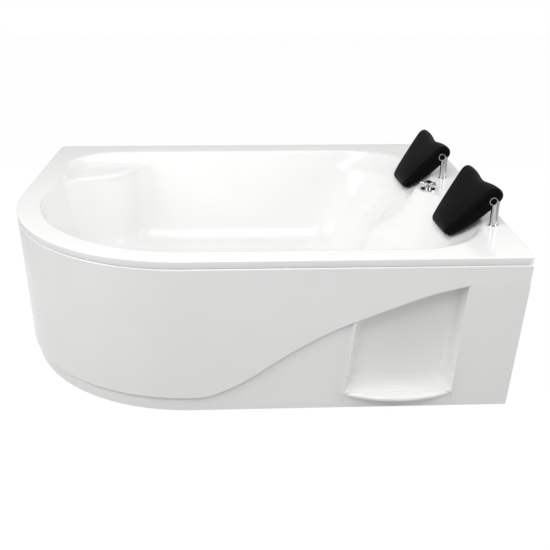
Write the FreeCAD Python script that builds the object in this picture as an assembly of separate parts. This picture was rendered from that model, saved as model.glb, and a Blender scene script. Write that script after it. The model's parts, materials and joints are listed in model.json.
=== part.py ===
import FreeCAD, Part
import math
import os
from FreeCAD import Vector

# A two-seat acrylic bath with a round left front end, a formed skirt with a niche, two headrests on
# chrome posts and a deck knob that lifts the drain plug. All lengths are in millimetres.
# Places are given as (along, across, below): along from the left end, across from the front face of
# the lip, below from the top of the deck. The origin is on the floor, in the middle of the whole bath.

# Overall sizes
tub_length = 1700.0
tub_width = 1300.0
deck_height = 542.0
sheet_wall = 6.0
round_end_radius = 640.0
corner_radius = 20.0
lip_drop = 26.5
lip_lean = 4.0
lip_edge_radius = 4.0
overrun = 40.0
running_clearance = 0.05
soft_clearance = 0.4

# Basin
basin_depth = 410.0
rim_front = 82.0
rim_left = 85.0
rim_back = 110.0
wall_draft_degrees = 7.0
floor_round = 90.0
floor_run_in = 24.0
edge_roll = 14.0
opening_corner_radius = 200.0
seat_corner_top = 300.0
seat_corner_bottom = 130.0
seat_top_along = tub_length - 98.0
seat_reach = 392.0
seat_mid_across = tub_width / 2 + 5.0
seat_offset = 259.0
end_skew_degrees = 4.5
nose_reach = 134.0
nose_round = 34.0
depth_shares = (0.0, 0.05, 0.10, 0.18, 0.24, 0.31, 0.36, 0.46, 0.63, 0.85, 0.93, 0.975, 1.0)
seat_shares = (0.0, 0.06, 0.146, 0.307, 0.361, 0.413, 0.448, 0.517, 0.626, 0.777, 0.839, 0.906, 1.0)
nose_shares = (1.0, 0.87, 0.72, 0.40, 0.36, 0.54, 0.75, 0.75, 0.56, 0.28, 0.15, 0.05, 0.0)
ledge_depth = 40.0
ledge_long = 285.0
ledge_wide = 246.0
ledge_fade = 40.0
ledge_blend = 70.0
ledge_taper_share = 0.35
columns = 200
roll_shares = ((0.0, 1.0), (0.0, 0.45), (0.15, 0.08), (0.6, 0.0))
wall_shares = (0.05, 0.075, 0.1, 0.12, 0.145, 0.175, 0.22, 0.27, 0.32, 0.37, 0.42, 0.48, 0.55, 0.62,
               0.69, 0.75)
floor_round_degrees = (12, 30, 48, 66, 82)
ledge_width_shares = (1.0, 0.55, 0.02, -0.03)
ledge_depth_shares = (0.94, 1.03, 1.05, 1.3)

# Skirt
skirt_set_back = 0.5
skirt_gap = 2.0
skirt_top_gap = 0.8
skirt_wall = 5.0
skirt_relief = 12.0
skirt_edge_radius = 4.0
crest_width = 11.0
skirt_floor_gap = 3.0
skirt_foot = 24.0
skirt_lean = 18.4
tongue_inset = 12.0
tongue_height = 20.0
plinth_height = 55.0
crest_shares = ((0.888, 0.175), (0.8235, 0.2269), (0.735, 0.3325), (0.667, 0.4205), (0.588, 0.5535),
                (0.5176, 0.7031), (0.4647, 0.8136), (0.4235, 0.8742))
niche_left_top = tub_length - 540.0
niche_left_bottom = tub_length - 567.0
niche_right_bottom = tub_length - 207.0
niche_floor_below = 479.0
niche_depth = 80.0
niche_taper = 12.0
niche_left_taper = 27.0
niche_round = 22.0
shelf_bow = 30.0
shelf_thickness = 16.0
shelf_edge_radius = 7.0

# Under-frame
board_thickness = 15.0
board_margin = 30.0
rail_side = 30.0
rail_wall = 2.0
rail_left = 200.0
rail_right = tub_length - 25.0
rail_near_across = seat_mid_across - seat_offset
rail_far_across = seat_mid_across + seat_offset
upright_side = 25.0
upright_inset = 50.0
upright_far_across = tub_width - 55.0
upright_round_inset = 43.0
upright_round_degrees = 58.7
middle_member_along = round_end_radius + 320.0
last_member_along = seat_top_along - 54.0
rim_pad_thickness = 4.0
rim_pad_side = 34.0

# Levelling feet
stem_radius = 6.0
stem_top = 106.0
pad_radius = 26.0
pad_height = 12.0
pad_socket = 7.0
pad_boss_radius = 14.0
pad_boss_height = 8.0
nut_radius = 11.0
weld_nut_height = 12.0
lock_nut_height = 9.0

# Headrests
post_radius = 12.5
post_wall = 1.5
post_along = seat_top_along + 16.0
post_spread = 256.0
post_above = 100.0
post_below = 120.0
cross_tube_radius = 14.0
cross_tube_ahead = 14.0
cross_tube_above = 88.0
cross_tube_past = 14.0
collar_radius = 17.5
collar_height = 3.0
guide_wall = 3.5
guide_floor = 4.0
guide_nut_radius = 25.0
guide_nut_height = 10.0
pillow_top_width = 284.0
pillow_bottom_width = 172.0
pillow_round = 20.0
pillow_round_degrees = (90, 68, 45, 22)
pillow_tip_inset = 8.0
pillow_crown = 4.0
pillow_saddle = 13.0
pillow_saddle_share = 0.8
pillow_dip_start_share = 0.6
pillow_tilt_high = 20
pillow_tilt_step = 5
core_radius = 17.5
core_length = 150.0
pillow_reach = 140.0
pillow_rise = 130.0
# the side outline as shares of the reach ahead of the post and of the rise above the deck
pillow_side_shares = ((-1.014, -0.377), (-1.021, -0.28), (-0.93, -0.11), (-0.73, 0.19), (-0.486, 0.54),
                      (-0.286, 0.815), (-0.186, 0.954), (-0.057, 1.023), (0.071, 0.977), (0.143, 0.862),
                      (0.157, 0.738), (0.114, 0.631), (0.043, 0.508), (-0.057, 0.369), (-0.214, 0.154),
                      (-0.414, -0.09), (-0.629, -0.285), (-0.814, -0.41), (-0.943, -0.45))
face_low_share = (-0.986, -0.231)
face_top_share = (-0.214, 0.892)
pillow_face_poles = (2, 3, 4)

# Deck knob
knob_along = seat_top_along - 86.0
knob_across = seat_mid_across - 12.0
knob_reach = 34.0
knob_lobe_radius = 7.0
knob_lobes = 5
knob_hub_radius = 15.0
knob_height = 18.0
knob_lift = 8.0
rosette_radius = 29.0
rosette_height = 5.0
spindle_radius = 5.0
housing_radius = 15.0
housing_length = 52.0
housing_nut_radius = 24.0
housing_nut_height = 8.0

# Waste, overflow and trap
waste_along = round_end_radius + 15.0
waste_across = 322.0
flange_radius = 35.0
flange_thickness = 3.0
waste_bore = 24.0
waste_wall = 3.0
waste_bottom = 40.0
plug_radius = 21.0
plug_thickness = 5.0
plug_stem_radius = 4.0
gasket_thickness = 3.0
waste_nut_radius = 40.0
waste_nut_height = 10.0
pipe_radius = 20.0
pipe_wall = 2.5
pipe_level = 76.0
trap_low_level = 30.0
trap_bend = 30.0
trap_reach = 223.0
overflow_radius = 35.0
overflow_thickness = 7.0
overflow_seat = 0.8
overflow_bore = 22.0
overflow_below = 80.0
elbow_radius = 27.0
elbow_depth = 36.0
overflow_pipe_radius = 16.0
overflow_pipe_bend = 55.0
overflow_pipe_across = 62.0
pipe_nut_height = 18.0

# Cable from the deck knob to the waste
cable_radius = 3.0
cable_level = 50.0
cable_bend = 90.0
clip_side = 14.0


def at(along, across, below):
    front_y = (shelf_bow - tub_width) / 2
    return Vector(along - tub_length / 2, across + front_y, deck_height - below)


def floor_at(along, across, height):
    return at(along, across, deck_height - height)


UP = Vector(0, 0, 1)
DOWN = Vector(0, 0, -1)
ALONG = Vector(1, 0, 0)
ACROSS = Vector(0, 1, 0)


def save(name, shape):
    os.makedirs("parts", exist_ok=True)
    shape.exportStep("parts/" + name + ".step")
    print(name, len(shape.Solids), "solids", round(shape.Volume / 1000), "cm3", shape.isValid())


def cylinder(radius, start, end):
    span = end - start
    return Part.makeCylinder(radius, span.Length, start, span)


def tube(radius, wall, start, end):
    return cylinder(radius, start, end).cut(cylinder(radius - wall, start, end))


def box(low, high):
    size = high - low
    return Part.makeBox(size.x, size.y, size.z, low)


def ring(outer, inner, start, height):
    top = start + Vector(0, 0, height)
    return cylinder(outer, start, top).cut(cylinder(inner, start, top))


def rounded_path(points, radius):
    """A wire of straight runs joined by tangent arcs."""
    edges = []
    start = points[0]
    for before, corner, after in zip(points, points[1:], points[2:]):
        inward = (before - corner).normalize()
        outward = (after - corner).normalize()
        half = inward.getAngle(outward) / 2
        reach = radius / math.tan(half)
        middle = (inward + outward).normalize() * (radius / math.sin(half) - radius)
        first = corner + inward * reach
        last = corner + outward * reach
        edges.append(Part.LineSegment(start, first).toShape())
        edges.append(Part.Arc(first, corner + middle, last).toShape())
        start = last
    edges.append(Part.LineSegment(start, points[-1]).toShape())
    return Part.Wire(edges)


def pipe_along(points, bend, radius):
    path = rounded_path(points, bend)
    circle = Part.Wire(Part.makeCircle(radius, points[0], points[1] - points[0]))
    return path.makePipeShell([circle], True, False)


# Plan outlines, all concentric with the outside of the lip

def rim_wire(inset, below):
    """The bath's plan outline at a depth. Its front, round end and left side lean in on the way down."""
    lean = inset + lip_lean * below / lip_drop
    near, far = lean, tub_width - inset
    left, right = lean, tub_length - inset
    big = round_end_radius - lean
    small = corner_radius - inset
    slant = math.sqrt(0.5)

    def corner(along, across, out_along, out_across, radius, steps):
        middle = at(along + out_along * radius * slant, across + out_across * radius * slant, below)
        ends = [at(along + a * radius, across + b * radius, below) for a, b in steps]
        return Part.Arc(ends[0], middle, ends[1]).toShape(), ends

    arcs = [corner(left + big, near + big, -1, -1, big, ((-1, 0), (0, -1))),
            corner(right - small, near + small, 1, -1, small, ((0, -1), (1, 0))),
            corner(right - small, far - small, 1, 1, small, ((1, 0), (0, 1))),
            corner(left + small, far - small, -1, 1, small, ((0, 1), (-1, 0)))]
    edges = []
    for index, (arc, ends) in enumerate(arcs):
        following = arcs[(index + 1) % len(arcs)][1]
        edges.append(arc)
        edges.append(Part.LineSegment(ends[1], following[0]).toShape())
    return Part.Wire(edges)


def rim_body(inset, high, low):
    """The bath's whole plan between two depths, drawn in by inset. Its straight sides are planes."""
    upper, lower = rim_wire(inset, high), rim_wire(inset, low)
    faces = [Part.Face(upper), Part.Face(lower)]
    for top, bottom in zip(upper.Edges, lower.Edges):
        if top.Curve.TypeId == "Part::GeomCircle":
            faces.append(Part.makeRuledSurface(top, bottom))
            continue
        points = [top.Vertexes[0].Point, top.Vertexes[-1].Point]
        points += [bottom.Vertexes[-1].Point, bottom.Vertexes[0].Point]
        faces.append(Part.Face(Part.makePolygon(points + points[:1])))
    return closed_solid(faces)


def skirt_edges(inset, below):
    """The open path of the skirt: front, round end and left side."""
    big = round_end_radius - inset
    slant = big * math.sqrt(0.5)
    centre = round_end_radius
    right_end = at(tub_length, inset, below)
    front_start = at(centre, inset, below)
    middle = at(centre - slant, centre - slant, below)
    left_start = at(inset, centre, below)
    left_end = at(inset, tub_width - skirt_gap, below)
    return [Part.LineSegment(right_end, front_start).toShape(),
            Part.Arc(front_start, middle, left_start).toShape(),
            Part.LineSegment(left_start, left_end).toShape()], right_end, left_end


def skirt_band(inset, wall, low_below, high_below):
    """A band of skirt between two depths below the deck."""
    outer, outer_right, outer_left = skirt_edges(inset, low_below)
    inner, inner_right, inner_left = skirt_edges(inset + wall, low_below)
    edges = outer + [Part.LineSegment(outer_left, inner_left).toShape()]
    edges += inner + [Part.LineSegment(inner_right, outer_right).toShape()]
    wire = Part.Wire(Part.__sortEdges__(edges))
    return Part.Face(wire).extrude(Vector(0, 0, low_below - high_below))


# The basin as a grid of poles: columns go round the opening, rows go down the wall

def between(shares, table, share):
    for index in range(len(shares) - 1):
        if share <= shares[index + 1]:
            step = (share - shares[index]) / (shares[index + 1] - shares[index])
            return table[index] + step * (table[index + 1] - table[index])
    return table[-1]


def end_shift(across):
    """How much further along the seat end lies at a place across: it is a little askew."""
    return (seat_mid_across - across) * math.tan(math.radians(end_skew_degrees))


def right_end(across, below, inset):
    """How far along the basin reaches at the seats: two scoops with a divider between them."""
    share = below / basin_depth
    seat = seat_top_along - seat_reach * between(depth_shares, seat_shares, share)
    nose = nose_reach * between(depth_shares, nose_shares, share)
    away = math.hypot(across - seat_mid_across, nose_round)
    narrow = max(seat_offset - away, 0.0) / (seat_offset - nose_round)
    return seat + end_shift(across) - nose * narrow * narrow - inset


def round_corner(first, second, radius):
    if first < radius and second < radius:
        return radius - math.hypot(radius - first, radius - second)
    return min(first, second)


def soft_min(first, second, blend):
    overlap = max(blend - abs(first - second), 0.0) / blend
    return min(first, second) - overlap * overlap * blend / 4


def inside(along, across, row, upper):
    """How far a point is inside the basin at one row, negative outside."""
    below, inset, end_inset = row
    share = below / basin_depth
    left = along - rim_left - inset
    right = right_end(across, below, end_inset) - along
    near = across - rim_front - inset
    far = tub_width - rim_back - inset - across
    seat_corner = seat_corner_top + (seat_corner_bottom - seat_corner_top) * share
    big = round_end_radius - (rim_front + rim_left) / 2 - inset
    back_corner = opening_corner_radius if upper else ledge_blend
    body = min(round_corner(left, near, big), round_corner(right, near, seat_corner),
               round_corner(right, far, seat_corner), round_corner(left, far, back_corner))
    if upper:
        return body
    shrink = 1 - ledge_taper_share * share
    reach = math.hypot(left / (ledge_long * shrink), far / (ledge_wide * shrink))
    return soft_min(body, (reach - 1) * ledge_wide * shrink, ledge_blend)


def reach_at(angle, row, upper):
    low, high = 0.0, tub_length
    for _ in range(32):
        middle = (low + high) / 2
        along = tub_length / 2 + middle * math.cos(angle)
        across = tub_width / 2 + middle * math.sin(angle)
        if inside(along, across, row, upper) > 0:
            low = middle
        else:
            high = middle
    return low


def basin_rows():
    """Each row as depth below the deck, inset of the side walls and inset of the seat end."""
    draft = math.tan(math.radians(wall_draft_degrees))
    rows = [(share * edge_roll, -flare * edge_roll, -flare * edge_roll) for share, flare in roll_shares]
    rows += [(share * basin_depth, draft * share * basin_depth, 0.0) for share in wall_shares]
    for degrees in floor_round_degrees:
        turn = math.radians(degrees)
        below = basin_depth - floor_round * (1 - math.sin(turn))
        rows.append((below, draft * below + floor_round * (1 - math.cos(turn)), 0.0))
    rows.append((basin_depth, draft * basin_depth + floor_round, 0.0))
    rows.append((basin_depth, draft * basin_depth + floor_round + floor_run_in, floor_run_in))
    return rows


def basin_poles():
    rows = basin_rows()
    ledge_first = 5
    ledge_row = (ledge_depth, math.tan(math.radians(wall_draft_degrees)) * ledge_depth, 0.0)
    grid = []
    for column in range(columns):
        angle = 2 * math.pi * column / columns
        outer = reach_at(angle, ledge_row, True)
        inner = reach_at(angle, ledge_row, False)
        share = min(max((outer - inner) / ledge_fade, 0.0), 1.0)
        weight = share * share * (3 - 2 * share)
        line = []
        for index, row in enumerate(rows):
            reach = reach_at(angle, row, index < ledge_first)
            below = row[0]
            step = index - ledge_first
            if 0 <= step < len(ledge_width_shares):
                shaped = inner + (outer - inner) * ledge_width_shares[step]
                reach += weight * (shaped - reach)
                below += weight * (ledge_depth * ledge_depth_shares[step] - below)
            line.append(at(tub_length / 2 + reach * math.cos(angle),
                           tub_width / 2 + reach * math.sin(angle), below))
        grid.append(line)
    return grid


def pushed_out(grid, wall):
    """The same grid moved out along its normals by the sheet's thickness."""
    moved = []
    last = len(grid[0]) - 1
    for column, line in enumerate(grid):
        before = grid[column - 1]
        after = grid[(column + 1) % len(grid)]
        out = []
        for row, pole in enumerate(line):
            if row in (0, last):
                out.append(pole - UP * wall)
                continue
            round_way = after[row] - before[row]
            down_way = line[row + 1] - line[row - 1]
            normal = down_way.cross(round_way).normalize()
            out.append(pole + normal * wall)
        moved.append(out)
    return moved


def grid_face(grid):
    count = len(grid)
    rows = len(grid[0])
    surface = Part.BSplineSurface()
    column_knots = list(range(count + 1))
    row_knots = list(range(rows - 2))
    row_mults = [4] + [1] * (rows - 4) + [4]
    surface.buildFromPolesMultsKnots(grid, [1] * (count + 1), row_mults, column_knots, row_knots,
                                     True, False, 3, 3)
    return surface


def closed_solid(faces):
    shell = Part.makeShell(faces)
    shell.sewShape()
    solid = Part.makeSolid(Part.Shell(shell.Faces))
    if solid.Volume < 0:
        solid.reverse()
    return solid


def basin_solid():
    poles = basin_poles()
    inner = grid_face(poles)
    outer = grid_face(pushed_out(poles, sheet_wall))
    last = float(len(poles[0]) - 3)
    inner_top, outer_top = inner.vIso(0.0).toShape(), outer.vIso(0.0).toShape()
    inner_low, outer_low = inner.vIso(last).toShape(), outer.vIso(last).toShape()
    rim = Part.makeRuledSurface(inner_top, outer_top)
    floors = [Part.Face(Part.Wire(inner_low)), Part.Face(Part.Wire(outer_low))]
    return closed_solid([inner.toShape(), outer.toShape(), rim] + floors), inner_top


def deck_plate(opening):
    plate = rim_body(0.0, 0.0, lip_drop).cut(rim_body(sheet_wall, sheet_wall, lip_drop + sheet_wall))
    top = [edge for edge in plate.Edges if abs(edge.BoundBox.ZMin - deck_height) < running_clearance]
    plate = plate.makeFillet(lip_edge_radius, top)
    hole = Part.Face(Part.Wire(opening)).extrude(DOWN * sheet_wall)
    return plate.cut(hole)


def post_places():
    """The four posts, in line with the askew seat end."""
    turn = math.radians(end_skew_degrees)
    places = []
    for middle in (seat_mid_across - seat_offset, seat_mid_across + seat_offset):
        for side in (-1, 1):
            reach = side * post_spread / 2
            along = post_along + end_shift(middle) - reach * math.sin(turn)
            places.append((along, middle + reach * math.cos(turn)))
    return places


def tub_shell():
    basin, opening = basin_solid()
    shell = deck_plate(opening).fuse(basin)
    guide_radius = post_radius + running_clearance + guide_wall
    for along, across in post_places():
        shell = shell.cut(cylinder(guide_radius, at(along, across, -overrun), at(along, across, overrun)))
    knob_top = at(knob_along, knob_across, -overrun)
    shell = shell.cut(cylinder(housing_radius, knob_top, at(knob_along, knob_across, overrun)))
    low = basin_depth + overrun
    high = basin_depth - overrun
    waste_high, waste_low = at(waste_along, waste_across, high), at(waste_along, waste_across, low)
    shell = shell.cut(cylinder(waste_bore, waste_high, waste_low))
    start, way = overflow_axis()
    return shell.cut(cylinder(overflow_bore, start - way * overrun, start + way * overrun))


# Skirt

def crest_curve(lift):
    """The S line of the skirt from the niche's tip down to the plinth, raised by lift."""
    points = [at(a * tub_length, 0.0, b * deck_height - lift) for a, b in crest_shares]
    points.append(floor_at(round_end_radius, 0.0, plinth_height + lift))
    curve = Part.BSplineCurve()
    first = points[1] - points[0]
    curve.interpolate(Points=points, InitialTangent=first, FinalTangent=-ALONG * first.Length)
    return curve, points


def lower_field(lift):
    """Everything in front of and below the S line, widened by lift."""
    curve, points = crest_curve(lift)
    tip, foot = points[0], points[-1]
    right_low = floor_at(niche_right_bottom + lift, 0.0, -overrun)
    right_high = Vector(tip.x + lift, tip.y, tip.z)
    left_low = Vector(foot.x, foot.y, right_low.z)
    edges = [curve.toShape(), Part.LineSegment(foot, left_low).toShape(),
             Part.LineSegment(left_low, right_low).toShape()]
    if lift > 0:
        edges.append(Part.LineSegment(right_low, right_high).toShape())
        edges.append(Part.LineSegment(right_high, tip).toShape())
    else:
        edges.append(Part.LineSegment(right_low, tip).toShape())
    face = Part.Face(Part.Wire(Part.__sortEdges__(edges)))
    face.translate(-ACROSS * overrun)
    front = face.extrude(ACROSS * (overrun + skirt_foot))
    plinth = box(floor_at(-overrun, -overrun, -overrun),
                 floor_at(round_end_radius, tub_width + overrun, plinth_height + lift))
    return front.fuse(plinth)


def niche_wire(grow, left_grow, across):
    """The niche's outline in a plane, with its roof along the S line."""
    curve, points = crest_curve(grow)
    roof_points = [points[0], points[1], points[2], points[3]]
    tip = roof_points[0] + ALONG * grow
    left_top = at(niche_left_top - left_grow, 0.0, niche_floor_below)
    left_top.z = curve.value(curve.parameter(Vector(left_top.x, points[0].y, points[3].z))).z
    right_low = at(niche_right_bottom + grow, 0.0, niche_floor_below + grow)
    left_low = at(niche_left_bottom - left_grow, 0.0, niche_floor_below + grow)
    roof = Part.BSplineCurve()
    roof.interpolate([tip, roof_points[1], roof_points[2], left_top])
    edges = [roof.toShape(), Part.LineSegment(left_top, left_low).toShape(),
             Part.LineSegment(left_low, right_low).toShape(), Part.LineSegment(right_low, tip).toShape()]
    wire = Part.Wire(edges)
    wire.translate(ACROSS * across)
    return wire


def niche_body(grow, front, depth):
    """The niche from its mouth to its back, drawn in towards the back."""
    mouth = niche_wire(grow, grow, front)
    back = niche_wire(grow - niche_taper, grow - niche_left_taper, depth)
    body = Part.makeLoft([mouth, back], True, True)
    edges = [e for e in body.Edges if e.BoundBox.YMin > mouth.BoundBox.YMax + niche_taper]
    return body.makeFillet(niche_round + grow, edges)


def shelf():
    """The bowed front of the niche's floor."""
    top = niche_floor_below
    ends = skirt_set_back + skirt_relief
    left = at(niche_left_bottom, ends, top)
    right = at(niche_right_bottom, ends, top)
    middle = at((niche_left_bottom + niche_right_bottom) / 2, -shelf_bow, top)
    back_left = at(niche_left_bottom, niche_depth / 2, top)
    back_right = at(niche_right_bottom, niche_depth / 2, top)
    edges = [Part.Arc(left, middle, right).toShape(), Part.LineSegment(right, back_right).toShape(),
             Part.LineSegment(back_right, back_left).toShape(), Part.LineSegment(back_left, left).toShape()]
    solid = Part.Face(Part.Wire(edges)).extrude(DOWN * shelf_thickness)
    bowed = [e for e in solid.Edges if e.Curve.TypeId == "Part::GeomCircle"]
    return solid.makeFillet(shelf_edge_radius, bowed)


def past_right_end():
    """Everything past the skirt's right end, which leans in on the way down."""
    points = [at(tub_length - skirt_gap, -overrun, 0.0), at(tub_length - skirt_lean, -overrun, deck_height),
              at(tub_length + overrun, -overrun, deck_height), at(tub_length + overrun, -overrun, 0.0)]
    return Part.Face(Part.makePolygon(points + points[:1])).extrude(ACROSS * tub_width)


def inside_lip(point):
    """How far a point lies inside the lip's outside, on the front, the round end or the left side."""
    along, across = point.x - at(0, 0, 0).x, point.y - at(0, 0, 0).y
    if along < round_end_radius and across < round_end_radius:
        return round_end_radius - math.hypot(round_end_radius - along, round_end_radius - across)
    return along if along < round_end_radius else across


def face_edges(shape, low):
    """The edges of the skirt's visible face that get rounded, all but its foot and its left end."""
    chosen = []
    for edge in shape.Edges:
        middle = edge.valueAt((edge.FirstParameter + edge.LastParameter) / 2)
        points = [edge.Vertexes[0].Point, middle, edge.Vertexes[-1].Point]
        off = max(abs(inside_lip(point) - skirt_set_back) for point in points)
        foot = edge.BoundBox.ZMax < at(0, 0, low).z + skirt_gap
        left_end = edge.BoundBox.YMin > at(0, tub_width, 0).y - 2 * skirt_gap
        if off < running_clearance and not foot and not left_end and edge.Length > skirt_gap:
            chosen.append(edge)
    return chosen


def upper_field(low, high):
    """The raised part of the skirt with its thick crest along the S line."""
    crest = skirt_band(skirt_set_back, skirt_relief + skirt_wall, low, high)
    crest = crest.common(lower_field(skirt_wall + crest_width))
    plain = skirt_band(skirt_set_back, skirt_wall, low, high)
    body = plain.fuse(crest).cut([lower_field(0.0), past_right_end()]).removeSplitter()
    return body.makeFillet(skirt_edge_radius, face_edges(body, low))


def skirt_tongue(high):
    """The skirt's upper edge, stepped in so that it reaches up behind the lip."""
    inset = skirt_set_back + skirt_edge_radius
    top = high + skirt_edge_radius
    shoulder = skirt_band(inset, tongue_inset + skirt_wall - inset, top + 2 * skirt_wall, top)
    tongue = skirt_band(tongue_inset, skirt_wall, top + skirt_wall, high - tongue_height)
    inside = rim_body(sheet_wall + skirt_gap, 0.0, top + skirt_wall)
    return shoulder.fuse(tongue.common(inside))


def right_slab(front, low):
    """A slab right of the niche, from a front place back to a face that leans in on the way down."""
    tip_along, high = crest_shares[0][0] * tub_length, crest_shares[0][1] * deck_height
    whole = skirt_set_back + skirt_relief
    places = [(front, high), (skirt_set_back, high), (whole, low), (front + whole - skirt_set_back, low)]
    points = [at(niche_right_bottom, across, below) for across, below in places]
    length = tub_length - niche_right_bottom + overrun / 2
    slab = Part.Face(Part.makePolygon(points + points[:1])).extrude(ALONG * length)
    edges = [(tip_along, high), (2 * tub_length, high), (2 * tub_length, deck_height + overrun),
             (niche_right_bottom, deck_height + overrun)]
    corners = [at(along, -2 * overrun, below) for along, below in edges]
    region = Part.Face(Part.makePolygon(corners + corners[:1])).extrude(ACROSS * (4 * overrun))
    return slab.common(region)


def front_apron():
    low = deck_height - skirt_floor_gap
    high = lip_drop + skirt_top_gap
    whole = skirt_set_back + skirt_relief
    lower = skirt_band(whole, skirt_wall, low, high).common(lower_field(skirt_wall))
    foot = skirt_band(whole, skirt_foot, low, low - skirt_wall)
    apron = upper_field(low, high).fuse([lower, skirt_tongue(high), foot])
    pocket = niche_body(skirt_wall, skirt_set_back + skirt_wall, niche_depth + skirt_wall)
    apron = apron.fuse([pocket, shelf(), right_slab(skirt_set_back + skirt_wall, low)])
    apron = apron.cut([niche_body(0.0, -shelf_bow / 2, niche_depth), past_right_end()])
    apron = apron.cut(right_slab(-overrun, low))
    return apron.removeSplitter()


# Under-frame

rail_top = deck_height - basin_depth - sheet_wall - board_thickness


def square_tube(low, high, wall, way):
    """A square tube between two corners, hollow along one way."""
    grow = Vector(wall, wall, wall)
    open_way = Vector(abs(way.x), abs(way.y), abs(way.z)) * (wall + overrun)
    inner = box(low + grow - open_way, high - grow + open_way)
    return box(low, high).cut(inner)


def rail(across):
    half = rail_side / 2
    low = floor_at(rail_left, across - half, rail_top - rail_side)
    high = floor_at(rail_right, across + half, rail_top)
    return square_tube(low, high, rail_wall, ALONG)


def member_places():
    """Each cross member's place along the bath and its near end's place across it."""
    turn = math.radians(upright_round_degrees)
    reach = round_end_radius - upright_round_inset
    first = (round_end_radius - reach * math.cos(turn), round_end_radius - reach * math.sin(turn))
    return [first, (middle_member_along, upright_inset), (last_member_along, upright_inset)]


def cross_members():
    half = rail_side / 2
    solids = []
    for along, near in member_places():
        spans = [(near - upright_side / 2, rail_near_across - half),
                 (rail_near_across + half, rail_far_across - half),
                 (rail_far_across + half, upright_far_across + upright_side / 2)]
        for first, last in spans:
            low = floor_at(along - half, first, rail_top - rail_side)
            high = floor_at(along + half, last, rail_top)
            solids.append(square_tube(low, high, rail_wall, ACROSS))
    return Part.makeCompound(solids)


def upright_places():
    places = member_places() + [(along, upright_far_across) for along, near in member_places()]
    end = rail_right - upright_side / 2
    places += [(end, rail_near_across), (end, rail_far_across)]
    return places


def uprights():
    half = upright_side / 2
    top = deck_height - sheet_wall - rim_pad_thickness
    solids = []
    for along, across in upright_places():
        low = floor_at(along - half, across - half, rail_top)
        high = floor_at(along + half, across + half, top)
        solids.append(square_tube(low, high, rail_wall, UP))
    return Part.makeCompound(solids)


def rim_pads():
    half = rim_pad_side / 2
    top = deck_height - sheet_wall
    skirt_room = skirt_set_back + skirt_relief + skirt_wall
    solids = []
    for along, across in upright_places():
        near = max(across - half, skirt_room)
        low = floor_at(along - half, near, top - rim_pad_thickness)
        high = floor_at(min(along + half, tub_length - 2 * sheet_wall), across + half, top)
        solids.append(box(low, high))
    return Part.makeCompound(solids)


def foot_places():
    alongs = [along for along, near in member_places()]
    return [(along, across) for across in (rail_near_across, rail_far_across) for along in alongs]


def with_stem_holes(shape):
    for along, across in foot_places():
        bottom = floor_at(along, across, rail_top - rail_side - overrun)
        top = floor_at(along, across, rail_top - rail_wall)
        shape = shape.cut(cylinder(stem_radius + 2 * rail_wall, bottom, top))
    return shape


def base_board():
    draft = math.tan(math.radians(wall_draft_degrees)) * basin_depth
    edge = draft + floor_round + board_margin
    low = floor_at(rim_left + edge, rim_front + edge, rail_top)
    far = tub_width - rim_back - edge
    right = seat_top_along - seat_reach - floor_run_in - board_margin
    board = box(low, floor_at(right, far, rail_top + board_thickness))
    # the floor is round at the ledge and at the round end, so the board's left corners are cut back
    left, near = rim_left + edge, rim_front + edge
    top = rail_top + board_thickness
    back = opening_corner_radius / 2
    ledge_cut = box(floor_at(left - overrun, far - back, rail_top), floor_at(left + back, far + overrun, top))
    round_cut = box(floor_at(left - overrun, near - overrun, rail_top),
                    floor_at(left + opening_corner_radius, near + opening_corner_radius, top))
    hole = cylinder(waste_nut_radius + board_margin / 2, floor_at(waste_along, waste_across, 0.0),
                    floor_at(waste_along, waste_across, deck_height))
    return board.cut([ledge_cut, round_cut, hole])


# Levelling feet

def foot_stem(along, across):
    low = floor_at(along, across, pad_height - pad_socket)
    return cylinder(stem_radius, low, floor_at(along, across, stem_top))


def foot_pad(along, across):
    pad = cylinder(pad_radius, floor_at(along, across, 0.0), floor_at(along, across, pad_height))
    boss = cylinder(pad_boss_radius, floor_at(along, across, 0.0),
                    floor_at(along, across, pad_height + pad_boss_height))
    return pad.fuse(boss).removeSplitter().cut(foot_stem(along, across))


def foot_nuts(top, height):
    solids = []
    for along, across in foot_places():
        start = floor_at(along, across, top - height)
        corners = [start + Vector(math.cos(k * math.pi / 3), math.sin(k * math.pi / 3), 0) * nut_radius
                   for k in range(7)]
        hexagon = Part.Face(Part.makePolygon(corners)).extrude(UP * height)
        bore = cylinder(stem_radius + running_clearance, start - UP * overrun, start + UP * overrun)
        solids.append(hexagon.cut(bore))
    return Part.makeCompound(solids)


# Headrests, built square to the bath and then turned in line with the seat end

def in_line(shape, middle):
    shape.rotate(at(post_along, middle, 0.0), UP, end_skew_degrees)
    shape.translate(ALONG * end_shift(middle))
    return shape


def pillow_bar(middle):
    """Two posts with domed tops, joined by a cross tube that carries the headrest."""
    posts = []
    for side in (-1, 1):
        across = middle + side * post_spread / 2
        top = at(post_along, across, post_radius / 2 - post_above)
        low = at(post_along, across, post_below)
        dome = Part.makeSphere(post_radius, top).common(cylinder(post_radius, top, top + UP * post_radius))
        bar = cylinder(post_radius, low, top).fuse(dome)
        posts.append(bar.cut(cylinder(post_radius - post_wall, low, top - UP * post_wall)))
    past = post_spread / 2 + cross_tube_past
    along = post_along - cross_tube_ahead
    ends = [at(along, middle - past, -cross_tube_above), at(along, middle + past, -cross_tube_above)]
    rod = cylinder(cross_tube_radius, ends[0], ends[1])
    hollow = cylinder(cross_tube_radius - 2 * post_wall, ends[0], ends[1])
    bar = rod.fuse(posts).cut(hollow)
    return bar.removeSplitter()


def post_collars():
    solids = []
    for along, across in post_places():
        start = at(along, across, 0.0)
        solids.append(ring(collar_radius, post_radius + running_clearance, start, collar_height))
    return Part.makeCompound(solids)


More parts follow.
